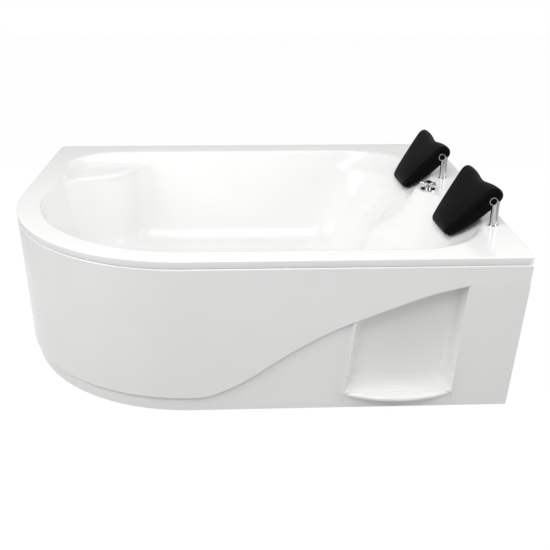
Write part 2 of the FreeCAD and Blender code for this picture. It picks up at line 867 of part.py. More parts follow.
def post_guides():
    radius = post_radius + running_clearance
    solids = []
    for along, across in post_places():
        top, stop = at(along, across, 0.0), at(along, across, post_below)
        low = stop - UP * guide_floor
        solids.append(cylinder(radius + guide_wall, low, top).cut(cylinder(radius, stop, top)))
    return Part.makeCompound(solids)


def guide_nuts():
    inner = post_radius + running_clearance + guide_wall
    solids = []
    for along, across in post_places():
        start = at(along, across, sheet_wall + guide_nut_height)
        solids.append(ring(guide_nut_radius, inner, start, guide_nut_height))
    return Part.makeCompound(solids)


def pillow_point(shares):
    return shares[0] * pillow_reach, shares[1] * pillow_rise


pillow_outline = [pillow_point(shares) for shares in pillow_side_shares]
face_low, face_top = pillow_point(face_low_share), pillow_point(face_top_share)


def pillow_share(along, above):
    """Where a point lies up the face of the headrest: 0 at the tip, 1 at the top of the face."""
    run, rise = face_top[0] - face_low[0], face_top[1] - face_low[1]
    return ((along - face_low[0]) * run + (above - face_low[1]) * rise) / (run * run + rise * rise)


def pillow_section(inset, crown, dip):
    """The side outline's poles drawn in by inset, the face crowned and the roll dipped."""
    points = []
    run, rise = face_top[0] - face_low[0], face_top[1] - face_low[1]
    length = math.hypot(run, rise)
    count = len(pillow_outline)
    for index, (along, above) in enumerate(pillow_outline):
        before = pillow_outline[index - 1]
        after = pillow_outline[(index + 1) % count]
        way_along, way_above = after[0] - before[0], after[1] - before[1]
        size = math.hypot(way_along, way_above)
        share = pillow_share(along, above)
        local = min(inset, pillow_tip_inset + share * inset) if inset > 0 else 0.0
        along += way_above / size * local
        above -= way_along / size * local
        top = min(max(share - pillow_dip_start_share, 0.0) / (1 - pillow_dip_start_share), 1.0)
        along -= dip * top * run / length
        above -= dip * top * rise / length
        if index in pillow_face_poles:
            along -= crown * rise / length
            above += crown * run / length
        points.append((along, above))
    return points


def pillow_grid(middle):
    """Poles of the headrest: columns round its side outline, rows from the near to the far end."""
    half_low, half_top = pillow_bottom_width / 2, pillow_top_width / 2
    turns = [math.radians(degrees) for degrees in pillow_round_degrees]
    ends = [(pillow_round * (1 - math.cos(turn)), pillow_round * math.sin(turn)) for turn in turns]
    rows = [(inset, -1.0, -past) for inset, past in ends]
    rows += [(0.0, share / 5, 0.0) for share in range(-5, 6)]
    rows += [(inset, 1.0, past) for inset, past in reversed(ends)]
    sections = []
    for inset, share, past in rows:
        crown = pillow_crown * (1 - share * share)
        dip = pillow_saddle * (0.5 + math.cos(math.pi * min(abs(share) / pillow_saddle_share, 1.0)) / 2)
        line = []
        for along, above in pillow_section(inset, crown, dip):
            half = half_low + (half_top - half_low) * pillow_share(along, above) - pillow_round
            line.append(at(post_along + along, middle + share * half + past, -above))
        sections.append(line)
    return [[section[column] for section in sections] for column in range(len(pillow_outline))]


def pillow(middle):
    surface = grid_face(pillow_grid(middle))
    rows = len(pillow_grid(middle)[0])
    first, last = surface.vIso(0.0).toShape(), surface.vIso(float(rows - 3)).toShape()
    body = closed_solid([surface.toShape(), Part.Face(Part.Wire(first)), Part.Face(Part.Wire(last))])
    pivot = at(post_along - cross_tube_ahead, middle, -cross_tube_above)
    half = pillow_top_width / 2 + overrun
    bore = cylinder(cross_tube_radius + soft_clearance, pivot - ACROSS * half, pivot + ACROSS * half)
    core = cylinder(core_radius, pivot - ACROSS * core_length / 2, pivot + ACROSS * core_length / 2)
    body = body.cut([core, bore])
    size = post_radius + 2 * soft_clearance
    for side in (-1, 1):
        post = pivot + ALONG * cross_tube_ahead + ACROSS * (side * post_spread / 2)
        for degrees in range(0, pillow_tilt_high + pillow_tilt_step, pillow_tilt_step):
            low = post - Vector(size, size, 3 * overrun)
            high = post + Vector(size, size, post_above - cross_tube_above + post_radius)
            slot = box(low, high)
            slot.rotate(pivot, ACROSS, -degrees)
            body = body.cut(slot)
    return body


def pillow_core(middle):
    pivot = at(post_along - cross_tube_ahead, middle, -cross_tube_above)
    first = pivot - ACROSS * core_length / 2
    last = pivot + ACROSS * core_length / 2
    wall = core_radius - cross_tube_radius - running_clearance
    return tube(core_radius, wall, first, last)


# Deck knob and its cable

def drain_knob():
    base = at(knob_along, knob_across, -rosette_height - knob_lift)
    knob = cylinder(knob_hub_radius, base, base + UP * knob_height)
    for lobe in range(knob_lobes):
        turn = 2 * math.pi * lobe / knob_lobes
        way = Vector(math.cos(turn), math.sin(turn), 0)
        level = base + UP * (knob_height / 2)
        tip = level + way * (knob_reach - knob_lobe_radius)
        arm = cylinder(knob_lobe_radius, level, tip).fuse(Part.makeSphere(knob_lobe_radius, tip))
        knob = knob.fuse(arm)
    cap = knob.removeSplitter()
    bottom = at(knob_along, knob_across, -rosette_height)
    skirt = cylinder(knob_hub_radius - knob_lobe_radius / 2, bottom, base)
    return cap.fuse(skirt).cut(cylinder(spindle_radius, bottom, base + UP * (knob_height / 2)))


def knob_rosette():
    start = at(knob_along, knob_across, 0.0)
    disc = cylinder(rosette_radius, start, start + UP * rosette_height)
    rim = [edge for edge in disc.Edges if edge.BoundBox.ZMin > start.z + running_clearance]
    disc = disc.makeFillet(rosette_height / 2, rim[:1])
    return disc.cut(cylinder(spindle_radius + running_clearance, start, start + UP * rosette_height))


def knob_spindle():
    low = at(knob_along, knob_across, housing_length - spindle_radius)
    above = rosette_height + knob_lift + knob_height / 2
    return cylinder(spindle_radius, low, at(knob_along, knob_across, -above))


def knob_housing():
    top = at(knob_along, knob_across, 0.0)
    low = at(knob_along, knob_across, housing_length)
    body = cylinder(housing_radius, low, top)
    body = body.cut(cylinder(spindle_radius + running_clearance, low + UP * spindle_radius, top))
    gland = cylinder(2 * cable_radius, low - UP * (4 * cable_radius), low)
    socket = cylinder(cable_radius, low - UP * (4 * cable_radius), low - UP * cable_radius)
    return body.fuse(gland).cut(socket)


def housing_nut():
    start = at(knob_along, knob_across, sheet_wall + housing_nut_height)
    return ring(housing_nut_radius, housing_radius, start, housing_nut_height)


def cable_end():
    outside = waste_bore + waste_wall
    return floor_at(waste_along, waste_across + outside + 3 * cable_radius, cable_level)


def control_cable():
    end = cable_end()
    start = at(knob_along, knob_across, housing_length + cable_radius)
    points = [start, floor_at(knob_along, knob_across, cable_level),
              floor_at(waste_along, knob_across, cable_level), end - ACROSS * (2 * cable_radius)]
    return pipe_along(points, cable_bend, cable_radius)


def cable_clips():
    half = clip_side / 2
    bottom = rail_top - rail_side
    solids = []
    for along, across in ((middle_member_along, knob_across), (waste_along, rail_near_across)):
        low = floor_at(along - half, across - half, cable_level - half)
        solids.append(box(low, floor_at(along + half, across + half, bottom)))
    member = last_member_along - rail_side / 2
    middle = rail_top - rail_side / 2
    solids.append(box(floor_at(knob_along - half, knob_across - half, middle - half),
                      floor_at(member, knob_across + half, middle + half)))
    return Part.makeCompound([solid.cut(control_cable()) for solid in solids])


# Waste, trap and overflow

def waste_point(below):
    return at(waste_along, waste_across, below)


def drain_flange():
    seat = ring(flange_radius, plug_radius - waste_wall, waste_point(basin_depth), flange_thickness)
    outer = waste_bore - running_clearance
    throat = ring(outer, outer - waste_wall, waste_point(basin_depth + sheet_wall), sheet_wall)
    web = ring(outer, plug_stem_radius + running_clearance, waste_point(basin_depth + sheet_wall), waste_wall)
    low = waste_point(basin_depth + sheet_wall)
    slots = ring(outer - waste_wall, plug_stem_radius + waste_wall, low, waste_wall)
    half_bar = Vector(outer, waste_wall / 2, 0)
    bars = box(low - half_bar, low + half_bar + UP * waste_wall)
    return seat.fuse(throat).fuse(web.cut(slots.cut(bars))).removeSplitter()


def drain_plug():
    low = waste_point(basin_depth - flange_thickness)
    disc = cylinder(plug_radius + waste_wall, low, low + UP * plug_thickness)
    edge = [e for e in disc.Edges if e.BoundBox.ZMin > low.z + running_clearance]
    return disc.makeFillet(plug_thickness / 2, edge[:1])


def plug_stem():
    return cylinder(plug_stem_radius, floor_at(waste_along, waste_across, pipe_level + pipe_radius / 2),
                    waste_point(basin_depth - flange_thickness))


def drain_gasket():
    start = waste_point(basin_depth + sheet_wall + gasket_thickness)
    return ring(flange_radius, waste_bore, start, gasket_thickness)


def waste_body():
    outside = waste_bore + waste_wall
    low = floor_at(waste_along, waste_across, waste_bottom)
    top = waste_point(basin_depth + sheet_wall + gasket_thickness)
    body = cylinder(outside, low, top)
    level = floor_at(waste_along, waste_across, pipe_level)
    reach = outside + pipe_nut_height
    trap_port = cylinder(pipe_radius + pipe_wall, level, level + ALONG * reach)
    over_port = cylinder(overflow_pipe_radius + pipe_wall, level, level - ACROSS * reach)
    end = cable_end()
    gland = cylinder(2 * cable_radius, end, end - ACROSS * (3 * cable_radius + waste_wall))
    body = body.fuse([trap_port, over_port, gland])
    bore = cylinder(waste_bore, low + UP * waste_wall, top)
    trap_bore = cylinder(pipe_radius, level, level + ALONG * reach)
    over_bore = cylinder(overflow_pipe_radius, level, level - ACROSS * reach)
    return body.cut([bore, trap_bore, over_bore, control_cable()])


def waste_nut():
    start = waste_point(basin_depth + sheet_wall + gasket_thickness + waste_nut_height)
    return ring(waste_nut_radius, waste_bore + waste_wall, start, waste_nut_height)


def trap_body():
    begin = waste_along + waste_bore + waste_wall
    rise = pipe_level - trap_low_level
    step = 2 * trap_bend
    outlet_level = pipe_level - pipe_wall
    falling = begin + step
    rising = falling + rise + step
    levels = [(begin, pipe_level), (falling, pipe_level), (falling + rise, trap_low_level),
              (rising, trap_low_level), (rising + rise, outlet_level),
              (waste_along + trap_reach + step, outlet_level)]
    points = [floor_at(along, waste_across, height) for along, height in levels]
    body = pipe_along(points, trap_bend, pipe_radius)
    return body.cut(pipe_along(points, trap_bend, pipe_radius - pipe_wall))


def pipe_nut(start, way, port):
    """A union nut over a port and the pipe in it."""
    outer = cylinder(port + pipe_wall, start, start + way * pipe_nut_height)
    return outer.cut(cylinder(port, start, start + way * pipe_nut_height))


def pipe_nuts():
    level = floor_at(waste_along, waste_across, pipe_level)
    outside = waste_bore + waste_wall
    trap_nut = pipe_nut(level + ALONG * (outside + pipe_wall), ALONG, pipe_radius + pipe_wall)
    over_nut = pipe_nut(level - ACROSS * (outside + pipe_wall), -ACROSS, overflow_pipe_radius + pipe_wall)
    return Part.makeCompound([trap_nut, over_nut])


def overflow_axis():
    """A point on the wall's wet side and the way out of the wall, away from the water."""
    tilt = math.radians(wall_draft_degrees)
    wall = rim_front + math.tan(tilt) * overflow_below
    return at(waste_along, wall, overflow_below), Vector(0, -math.cos(tilt), -math.sin(tilt))


def overflow_cover():
    start, way = overflow_axis()
    back = start - way * overflow_seat
    front = back - way * overflow_thickness
    disc = cylinder(overflow_radius, back, front)
    face = [e for e in disc.Edges if (e.BoundBox.Center - front).Length < overflow_seat]
    disc = disc.makeFillet(overflow_thickness / 3, face[:1])
    half = overflow_radius / 2
    slot = box(Vector(-half, -overrun, -half - overflow_radius), Vector(half, -overflow_thickness / 2, -half))
    slot.translate(back)
    neck = cylinder(overflow_bore / 2, back, start + way * sheet_wall)
    return disc.cut(slot).fuse(neck)


def overflow_gasket():
    start, way = overflow_axis()
    begin = start + way * sheet_wall
    return tube(overflow_radius, overflow_radius - overflow_bore, begin, begin + way * gasket_thickness)


def overflow_elbow():
    start, way = overflow_axis()
    begin = start + way * (sheet_wall + gasket_thickness)
    cup = cylinder(elbow_radius, begin, begin + way * (elbow_depth / 2))
    drop = at(waste_along, overflow_pipe_across, overflow_below)
    spout = cylinder(overflow_pipe_radius + pipe_wall, drop, drop - UP * (2 * elbow_radius))
    inner = cylinder(elbow_radius - pipe_wall, begin, begin + way * (elbow_depth / 2 - pipe_wall))
    bore = cylinder(overflow_pipe_radius, drop, drop - UP * (2 * elbow_radius))
    return cup.fuse(spout).cut([inner, bore])


def overflow_pipe():
    top = at(waste_along, overflow_pipe_across, overflow_below + elbow_radius)
    turn = floor_at(waste_along, overflow_pipe_across, pipe_level)
    end = floor_at(waste_along, waste_across - waste_bore - waste_wall, pipe_level)
    body = pipe_along([top, turn, end], overflow_pipe_bend, overflow_pipe_radius)
    return body.cut(pipe_along([top, turn, end], overflow_pipe_bend, overflow_pipe_radius - pipe_wall))


# Skirt fixings

def skirt_batten():
    """A strip on the floor along the front, which keeps the skirt's foot in line."""
    inner = skirt_set_back + skirt_relief + skirt_foot
    low = floor_at(round_end_radius, inner, 0.0)
    high = floor_at(niche_left_bottom, inner + skirt_foot, skirt_foot)
    grow = Vector(overrun, overrun, overrun)
    return box(low, high).cut(box(low + Vector(-overrun, skirt_gap, skirt_gap), high + grow))


def apron_brackets():
    inner = tongue_inset + skirt_wall
    half = upright_side / 2
    solids = []
    for along, across in member_places()[1:]:
        low = at(along - half, inner, lip_drop)
        high = at(along + half, across - half, lip_drop - skirt_gap)
        solids.append(box(low, high))
    return Part.makeCompound(solids)


def main():
    middles = {"near": seat_mid_across - seat_offset, "far": seat_mid_across + seat_offset}
    save("tub_shell", tub_shell())
    save("front_apron", front_apron())
    save("base_board", base_board())
    save("frame_rail_near", with_stem_holes(rail(rail_near_across)))
    save("frame_rail_far", with_stem_holes(rail(rail_far_across)))
    save("frame_cross_members", cross_members())
    save("frame_uprights", uprights())
    save("rim_pads", rim_pads())
    for number, (along, across) in enumerate(foot_places(), 1):
        save("foot_stem_%d" % number, foot_stem(along, across))
        save("foot_pad_%d" % number, foot_pad(along, across))
    rail_bottom = rail_top - rail_side
    save("foot_weld_nuts", foot_nuts(rail_bottom, weld_nut_height))
    save("foot_lock_nuts", foot_nuts(rail_bottom - weld_nut_height, lock_nut_height))
    for side, middle in middles.items():
        save("pillow_" + side, in_line(pillow(middle), middle))
        save("pillow_core_" + side, in_line(pillow_core(middle), middle))
        save("pillow_bar_" + side, in_line(pillow_bar(middle), middle))
    save("post_collars", post_collars())
    save("post_guides", post_guides())
    save("guide_nuts", guide_nuts())
    save("drain_knob", drain_knob())
    save("knob_rosette", knob_rosette())
    save("knob_spindle", knob_spindle())
    save("knob_housing", knob_housing())
    save("housing_nut", housing_nut())
    save("control_cable", control_cable())
    save("cable_clips", cable_clips())
    save("drain_flange", drain_flange())
    save("drain_plug", drain_plug())
    save("plug_stem", plug_stem())
    save("drain_gasket", drain_gasket())
    save("waste_body", waste_body())
    save("waste_nut", waste_nut())
    save("trap_body", trap_body())
    save("pipe_nuts", pipe_nuts())
    save("overflow_cover", overflow_cover())
    save("overflow_gasket", overflow_gasket())
    save("overflow_elbow", overflow_elbow())
    save("overflow_pipe", overflow_pipe())
    save("skirt_batten", skirt_batten())
    save("apron_brackets", apron_brackets())


main()
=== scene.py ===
import bmesh
import bpy
import json
import math
import numpy as np
from mathutils import Matrix, Vector


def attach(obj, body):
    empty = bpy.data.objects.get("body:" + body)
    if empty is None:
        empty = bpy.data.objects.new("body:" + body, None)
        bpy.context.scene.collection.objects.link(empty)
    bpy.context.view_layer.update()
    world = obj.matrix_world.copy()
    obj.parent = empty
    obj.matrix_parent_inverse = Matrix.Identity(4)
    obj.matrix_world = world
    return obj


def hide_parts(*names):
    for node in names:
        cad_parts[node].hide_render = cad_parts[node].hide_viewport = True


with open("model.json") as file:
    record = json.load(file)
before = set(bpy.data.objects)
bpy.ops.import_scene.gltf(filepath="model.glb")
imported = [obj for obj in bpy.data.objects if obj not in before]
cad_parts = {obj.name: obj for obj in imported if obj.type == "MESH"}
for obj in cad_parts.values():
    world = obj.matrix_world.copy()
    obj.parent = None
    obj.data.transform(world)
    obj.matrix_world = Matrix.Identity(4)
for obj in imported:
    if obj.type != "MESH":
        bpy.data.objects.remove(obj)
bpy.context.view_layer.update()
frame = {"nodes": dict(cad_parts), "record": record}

MM = 0.001

# Sizes in millimetres, the same values as the solids
tub_length, tub_width, deck_height = 1700.0, 1300.0, 542.0
shelf_bow = 30.0
sheet_wall = 6.0
round_end_radius = 640.0
corner_radius = 20.0
lip_drop = 26.5
lip_lean = 4.0
lip_edge_radius, lip_end_round = 4.0, 1.5
# extra loops of the lip's mesh, which keep its faces flat under smooth shading
deck_loop, lip_face_loop, lip_inner_loop = 16.0, 12.0, 9.0
basin_depth = 410.0
rim_front, rim_left, rim_back = 82.0, 85.0, 110.0
wall_draft = math.tan(math.radians(7.0))
floor_round, floor_run_in = 90.0, 24.0
edge_roll = 14.0
opening_corner_radius = 200.0
seat_corner_top, seat_corner_bottom = 300.0, 130.0
seat_top_along, seat_reach = tub_length - 98.0, 392.0
end_skew = math.radians(4.5)
seat_mid_across, seat_offset = tub_width / 2 + 5.0, 259.0
nose_reach, nose_round = 134.0, 34.0
depth_shares = (0.0, 0.05, 0.10, 0.18, 0.24, 0.31, 0.36, 0.46, 0.63, 0.85, 0.93, 0.975, 1.0)
seat_shares = (0.0, 0.06, 0.146, 0.307, 0.361, 0.413, 0.448, 0.517, 0.626, 0.777, 0.839, 0.906, 1.0)
nose_shares = (1.0, 0.87, 0.72, 0.40, 0.36, 0.54, 0.75, 0.75, 0.56, 0.28, 0.15, 0.05, 0.0)
ledge_depth, ledge_long, ledge_wide = 40.0, 285.0, 246.0
ledge_fade, ledge_blend, ledge_taper_share = 40.0, 70.0, 0.35
columns = 200
rim_spacing = 60.0
# mesh steps from pole to pole, round and down
basin_steps, pillow_steps = (2, 3), (6, 4)
roll_shares = ((0.0, 1.0), (0.0, 0.45), (0.15, 0.08), (0.6, 0.0))
wall_shares = (0.05, 0.075, 0.1, 0.12, 0.145, 0.175, 0.22, 0.27, 0.32, 0.37, 0.42, 0.48, 0.55, 0.62,
               0.69, 0.75)
floor_round_degrees = (12, 30, 48, 66, 82)
ledge_width_shares = (1.0, 0.55, 0.02, -0.03)
ledge_depth_shares = (0.94, 1.03, 1.05, 1.3)

post_along = seat_top_along + 16.0
pillow_top_width, pillow_bottom_width = 284.0, 172.0
pillow_round, pillow_tip_inset = 20.0, 8.0
pillow_round_degrees = (90, 68, 45, 22)
pillow_crown, pillow_saddle, pillow_saddle_share = 4.0, 13.0, 0.8
pillow_dip_start_share = 0.6
pillow_reach, pillow_rise = 140.0, 130.0
pillow_side_shares = ((-1.014, -0.377), (-1.021, -0.28), (-0.93, -0.11), (-0.73, 0.19), (-0.486, 0.54),
                      (-0.286, 0.815), (-0.186, 0.954), (-0.057, 1.023), (0.071, 0.977), (0.143, 0.862),
                      (0.157, 0.738), (0.114, 0.631), (0.043, 0.508), (-0.057, 0.369), (-0.214, 0.154),
                      (-0.414, -0.09), (-0.629, -0.285), (-0.814, -0.41), (-0.943, -0.45))
face_low_share, face_top_share = (-0.986, -0.231), (-0.214, 0.892)
pillow_face_poles = (2, 3, 4)

# The camera: where it stands as along, across and below, its pitch, yaw and roll, and its lens
camera_place = (823.5, -1986.4, -886.4)
camera_turns = (25.15, 2.49, -0.30)
camera_lens = 48.0

# The studio in metres and watts: each softbox's place, what it points at, its size and its power
softboxes = {
    "overhead_softbox": ((0.0, -1.1, 2.8), (0.0, -0.3, 0.3), (1.4, 1.2), 13.0),
    "front_softbox": ((-0.5, -3.2, 3.2), (-0.1, 0.0, 0.4), (2.4, 1.4), 44.0),
    "left_softbox": ((-3.2, -1.5, 2.3), (-0.2, 0.0, 0.3), (1.6, 1.6), 37.0),
    "right_softbox": ((3.4, -1.0, 1.5), (-0.6, 0.0, 0.3), (1.6, 1.6), 40.0)}
floor_reach = 9.0
floor_glow, floor_glow_share = 1.18, 0.8
backdrop_fill = 0.52


def at(along, across, below):
    """A place on the bath in metres: along from its left end, across from its front, below its deck."""
    front = (shelf_bow - tub_width) / 2
    return Vector((along - tub_length / 2, across + front, deck_height - below)) * MM


# Materials

def linear(hex_colour):
    """An sRGB hex colour as linear RGBA."""
    parts = [int(hex_colour[i:i + 2], 16) / 255 for i in (1, 3, 5)]
    return [v / 12.92 if v <= 0.04045 else ((v + 0.055) / 1.055) ** 2.4 for v in parts] + [1.0]


def add(tree, kind, settings=None, links=None):
    """One shader node with its values, fed by other nodes' outputs."""
    node = tree.nodes.new(kind)
    for key, value in (settings or {}).items():
        if isinstance(key, str) and hasattr(node, key):
            setattr(node, key, value)
        else:
            node.inputs[key].default_value = value
    for key, source in (links or {}).items():
        tree.links.new(source, node.inputs[key])
    return node


def new_material(name):
    """An empty node material and its tree."""
    material = bpy.data.materials.new(name)
    material.use_nodes = True
    tree = material.node_tree
    tree.nodes.clear()
    return material, tree


def finish_material(tree, shader):
    output = tree.nodes.new("ShaderNodeOutputMaterial")
    tree.links.new(shader.outputs[0], output.inputs["Surface"])


def grains(size):
    """The texture scale that gives grains of this size in millimetres."""
    return 1 / (size * MM)


def cast_acrylic(name, colour, shade):
    """Cast acrylic sheet, vacuum formed over a mould: hard deep gloss, with the faint long waves that
    the heated sheet keeps and a trace of warmer and cooler white."""
    material, tree = new_material(name)
    place = add(tree, "ShaderNodeNewGeometry")
    # waves of the drawn sheet, 140 mm long
    waves = add(tree, "ShaderNodeTexNoise", {"Scale": grains(140), "Detail": 1.5, "Roughness": 0.4},
                {"Vector": place.outputs["Position"]})
    tint = add(tree, "ShaderNodeMix", {"data_type": "RGBA", 6: linear(colour), 7: linear(shade)},
               {0: waves.outputs["Fac"]})
    # orange peel of the glossy face, drawn at 9 mm so that it shows
    peel = add(tree, "ShaderNodeTexNoise", {"Scale": grains(9), "Detail": 1.0},
               {"Vector": place.outputs["Position"]})
    height = add(tree, "ShaderNodeMath", {"operation": "MULTIPLY_ADD", 1: 0.05},
                 {0: peel.outputs["Fac"], 2: waves.outputs["Fac"]})
    bump = add(tree, "ShaderNodeBump", {"Strength": 0.08, "Distance": 0.004}, {"Height": height.outputs[0]})
    gloss = add(tree, "ShaderNodeMapRange", {3: 0.10, 4: 0.16}, {0: waves.outputs["Fac"]})
    shader = add(tree, "ShaderNodeBsdfPrincipled", {"IOR": 1.49},
                 {"Base Color": tint.outputs[2], "Normal": bump.outputs[0], "Roughness": gloss.outputs[0]})
    finish_material(tree, shader)
    return material


def moulded_foam(name):
    """Polyurethane integral foam, moulded with its own skin: dull satin black with a fine pebble grain."""
    material, tree = new_material(name)
    place = add(tree, "ShaderNodeTexCoord")
    # pebble grain, 1.6 mm across
    grain = add(tree, "ShaderNodeTexVoronoi", {"Scale": grains(1.6)}, {"Vector": place.outputs["Object"]})
    # worn and dusty patches, 35 mm across
    cloudy = add(tree, "ShaderNodeTexNoise", {"Scale": grains(35), "Detail": 3.0},
                 {"Vector": place.outputs["Object"]})
    tint = add(tree, "ShaderNodeMix", {"data_type": "RGBA", 6: linear("#030304"), 7: linear("#070707")},
               {0: cloudy.outputs["Fac"]})
    bump = add(tree, "ShaderNodeBump", {"Strength": 0.3, "Distance": 0.0005},
               {"Height": grain.outputs["Distance"]})
    rough = add(tree, "ShaderNodeMapRange", {3: 0.44, 4: 0.56}, {0: cloudy.outputs["Fac"]})
    # the light that its grain and fine dust catch at the edges
    satin = {"IOR": 1.45, "Specular IOR Level": 0.06, "Sheen Weight": 0.05, "Sheen Roughness": 0.35}
    shader = add(tree, "ShaderNodeBsdfPrincipled", satin,
                 {"Base Color": tint.outputs[2], "Normal": bump.outputs[0], "Roughness": rough.outputs[0]})
    finish_material(tree, shader)
    return material


def metal(name, colour, rough_low, rough_high, scale, grain=1.0):
    """A metal: its own reflection colour, and a roughness that drifts a little over the surface. The
    scale is patches to the metre, and the grain draws them out round the axis."""
    material, tree = new_material(name)
    place = add(tree, "ShaderNodeTexCoord")
    stretch = add(tree, "ShaderNodeMapping", {"Scale": (1.0, 1.0, grain)},
                  {"Vector": place.outputs["Object"]})
    drift = add(tree, "ShaderNodeTexNoise", {"Scale": scale, "Detail": 4.0},
                {"Vector": stretch.outputs[0]})
    rough = add(tree, "ShaderNodeMapRange", {3: rough_low, 4: rough_high}, {0: drift.outputs["Fac"]})
    bump = add(tree, "ShaderNodeBump", {"Strength": 0.05, "Distance": 0.0003},
               {"Height": drift.outputs["Fac"]})
    shader = add(tree, "ShaderNodeBsdfPrincipled", {"Metallic": 1.0, "Base Color": linear(colour)},
                 {"Roughness": rough.outputs[0], "Normal": bump.outputs[0]})
    finish_material(tree, shader)
    return material


def moulded(name, light, dark, rough, ior, scale, depth):
    """A moulded or coated surface: two close shades and the texture of its mould or spray. The scale is
    bumps to the metre, and the depth is in metres."""
    material, tree = new_material(name)
    place = add(tree, "ShaderNodeTexCoord")
    texture = add(tree, "ShaderNodeTexNoise", {"Scale": scale, "Detail": 3.0},
                  {"Vector": place.outputs["Object"]})
    tint = add(tree, "ShaderNodeMix", {"data_type": "RGBA", 6: linear(dark), 7: linear(light)},
               {0: texture.outputs["Fac"]})
    bump = add(tree, "ShaderNodeBump", {"Strength": 0.3, "Distance": depth},
               {"Height": texture.outputs["Fac"]})
    shader = add(tree, "ShaderNodeBsdfPrincipled", {"IOR": ior, "Roughness": rough},
                 {"Base Color": tint.outputs[2], "Normal": bump.outputs[0]})
    finish_material(tree, shader)
    return material


def particle_board(name):
    """Particle board under brushed resin: flat chips 4 mm long, in two browns."""
    material, tree = new_material(name)
    place = add(tree, "ShaderNodeTexCoord")
    chips = add(tree, "ShaderNodeTexVoronoi", {"Scale": grains(4)}, {"Vector": place.outputs["Object"]})
    tint = add(tree, "ShaderNodeMix", {"data_type": "RGBA", 6: linear("#a98a5e"), 7: linear("#cbb084")},
               {0: chips.outputs["Color"]})
    bump = add(tree, "ShaderNodeBump", {"Strength": 0.2, "Distance": 0.0004},
               {"Height": chips.outputs["Distance"]})
    shader = add(tree, "ShaderNodeBsdfPrincipled", {"Roughness": 0.45, "IOR": 1.5},
                 {"Base Color": tint.outputs[2], "Normal": bump.outputs[0]})
    finish_material(tree, shader)
    return material


# Surfaces from poles, cubic in both ways

def spline_weights(count, per_span, closed):
    """A matrix that turns poles into points along a uniform cubic spline."""
    if closed:
        steps = np.arange(count * per_span) / per_span
        rows = np.zeros((len(steps), count))
        for line, step in enumerate(steps):
            base, t = int(step), step - int(step)
            weights = ((1 - t) ** 3, 3 * t ** 3 - 6 * t * t + 4,
                       -3 * t ** 3 + 3 * t * t + 3 * t + 1, t ** 3)
            for shift, weight in enumerate(weights):
                rows[line, (base + shift - 1) % count] += weight / 6
        return rows
    spans = count - 3
    knots = np.concatenate([[0.0] * 3, np.arange(spans + 1), [float(spans)] * 3])
    steps = np.linspace(0.0, spans, spans * per_span + 1)
    rows = np.zeros((len(steps), count))
    for line, step in enumerate(steps):
        start = min(int(step), spans - 1) + 3
        basis = {start: 1.0}
        for degree in (1, 2, 3):
            following = {}
            for index in range(start - degree, start + 1):
                value = 0.0
                left = knots[index + degree] - knots[index]
                right = knots[index + degree + 1] - knots[index + 1]
                if left > 0:
                    value += (step - knots[index]) / left * basis.get(index, 0.0)
                if right > 0:
                    value += (knots[index + degree + 1] - step) / right * basis.get(index + 1, 0.0)
                following[index] = value
            basis = following
        for index, value in basis.items():
            rows[line, index] += value
    return rows


def spline_points(poles, per_column, per_row):
    """Points of the surface over a grid of poles, closed in columns and clamped in rows."""
    across = spline_weights(poles.shape[0], per_column, True)
    down = spline_weights(poles.shape[1], per_row, False)
    return np.einsum("ac,crk,br->abk", across, poles, down)


def grid_quads(columns_count, rows_count):
    """Quads of a grid of points that closes on itself in columns."""
    quads = []
    for column in range(columns_count):
        here, there = column * rows_count, (column + 1) % columns_count * rows_count
        for row in range(rows_count - 1):
            quads.append([here + row, here + row + 1, there + row + 1, there + row])
    return quads


# The basin's poles

def end_shift(across):
    """How much further along the seat end lies at a place across: it is a little askew."""
    return (seat_mid_across - across) * math.tan(end_skew)


def right_end(across, below, inset):
    """How far along the seat end reaches: two scooped back rests with a nose between them."""
    share = below / basin_depth
    seat = seat_top_along - seat_reach * np.interp(share, depth_shares, seat_shares)
    nose = nose_reach * np.interp(share, depth_shares, nose_shares)
    away = np.hypot(across - seat_mid_across, nose_round)
    narrow = np.maximum(seat_offset - away, 0.0) / (seat_offset - nose_round)
    return seat + end_shift(across) - nose * narrow * narrow - inset


def round_corner(first, second, radius):
    """The distance inside two walls that meet in a corner of this radius."""
    rounded = radius - np.hypot(radius - first, radius - second)
    return np.where((first < radius) & (second < radius), rounded, np.minimum(first, second))


def soft_min(first, second, blend):
    """The smaller of two distances, with a soft change from one to the other."""
    overlap = np.maximum(blend - np.abs(first - second), 0.0) / blend
    return np.minimum(first, second) - overlap * overlap * blend / 4


def inside(along, across, row, upper):
    """How far a place lies inside the basin on one row; the upper rows run over the corner ledge."""
    below, inset, end_inset = row
    share = below / basin_depth
    left = along - rim_left - inset
    right = right_end(across, below, end_inset) - along
    near = across - rim_front - inset
    far = tub_width - rim_back - inset - across
    seat_corner = seat_corner_top + (seat_corner_bottom - seat_corner_top) * share
    big = round_end_radius - (rim_front + rim_left) / 2 - inset
    back_corner = opening_corner_radius if upper else ledge_blend
    body = np.minimum.reduce([round_corner(left, near, big), round_corner(right, near, seat_corner),
                              round_corner(right, far, seat_corner), round_corner(left, far, back_corner)])
    if upper:
        return body
    shrink = 1 - ledge_taper_share * share
    reach = np.hypot(left / (ledge_long * shrink), far / (ledge_wide * shrink))
    return soft_min(body, (reach - 1) * ledge_wide * shrink, ledge_blend)


def reaches(angles, row, upper):
    """How far the basin's wall is from its middle in each direction, found by halving."""
    low, high = np.zeros_like(angles), np.full_like(angles, tub_length)
    for _ in range(32):
        middle = (low + high) / 2
        within = inside(tub_length / 2 + middle * np.cos(angles), tub_width / 2 + middle * np.sin(angles),
                        row, upper) > 0
        low, high = np.where(within, middle, low), np.where(within, high, middle)
    return low


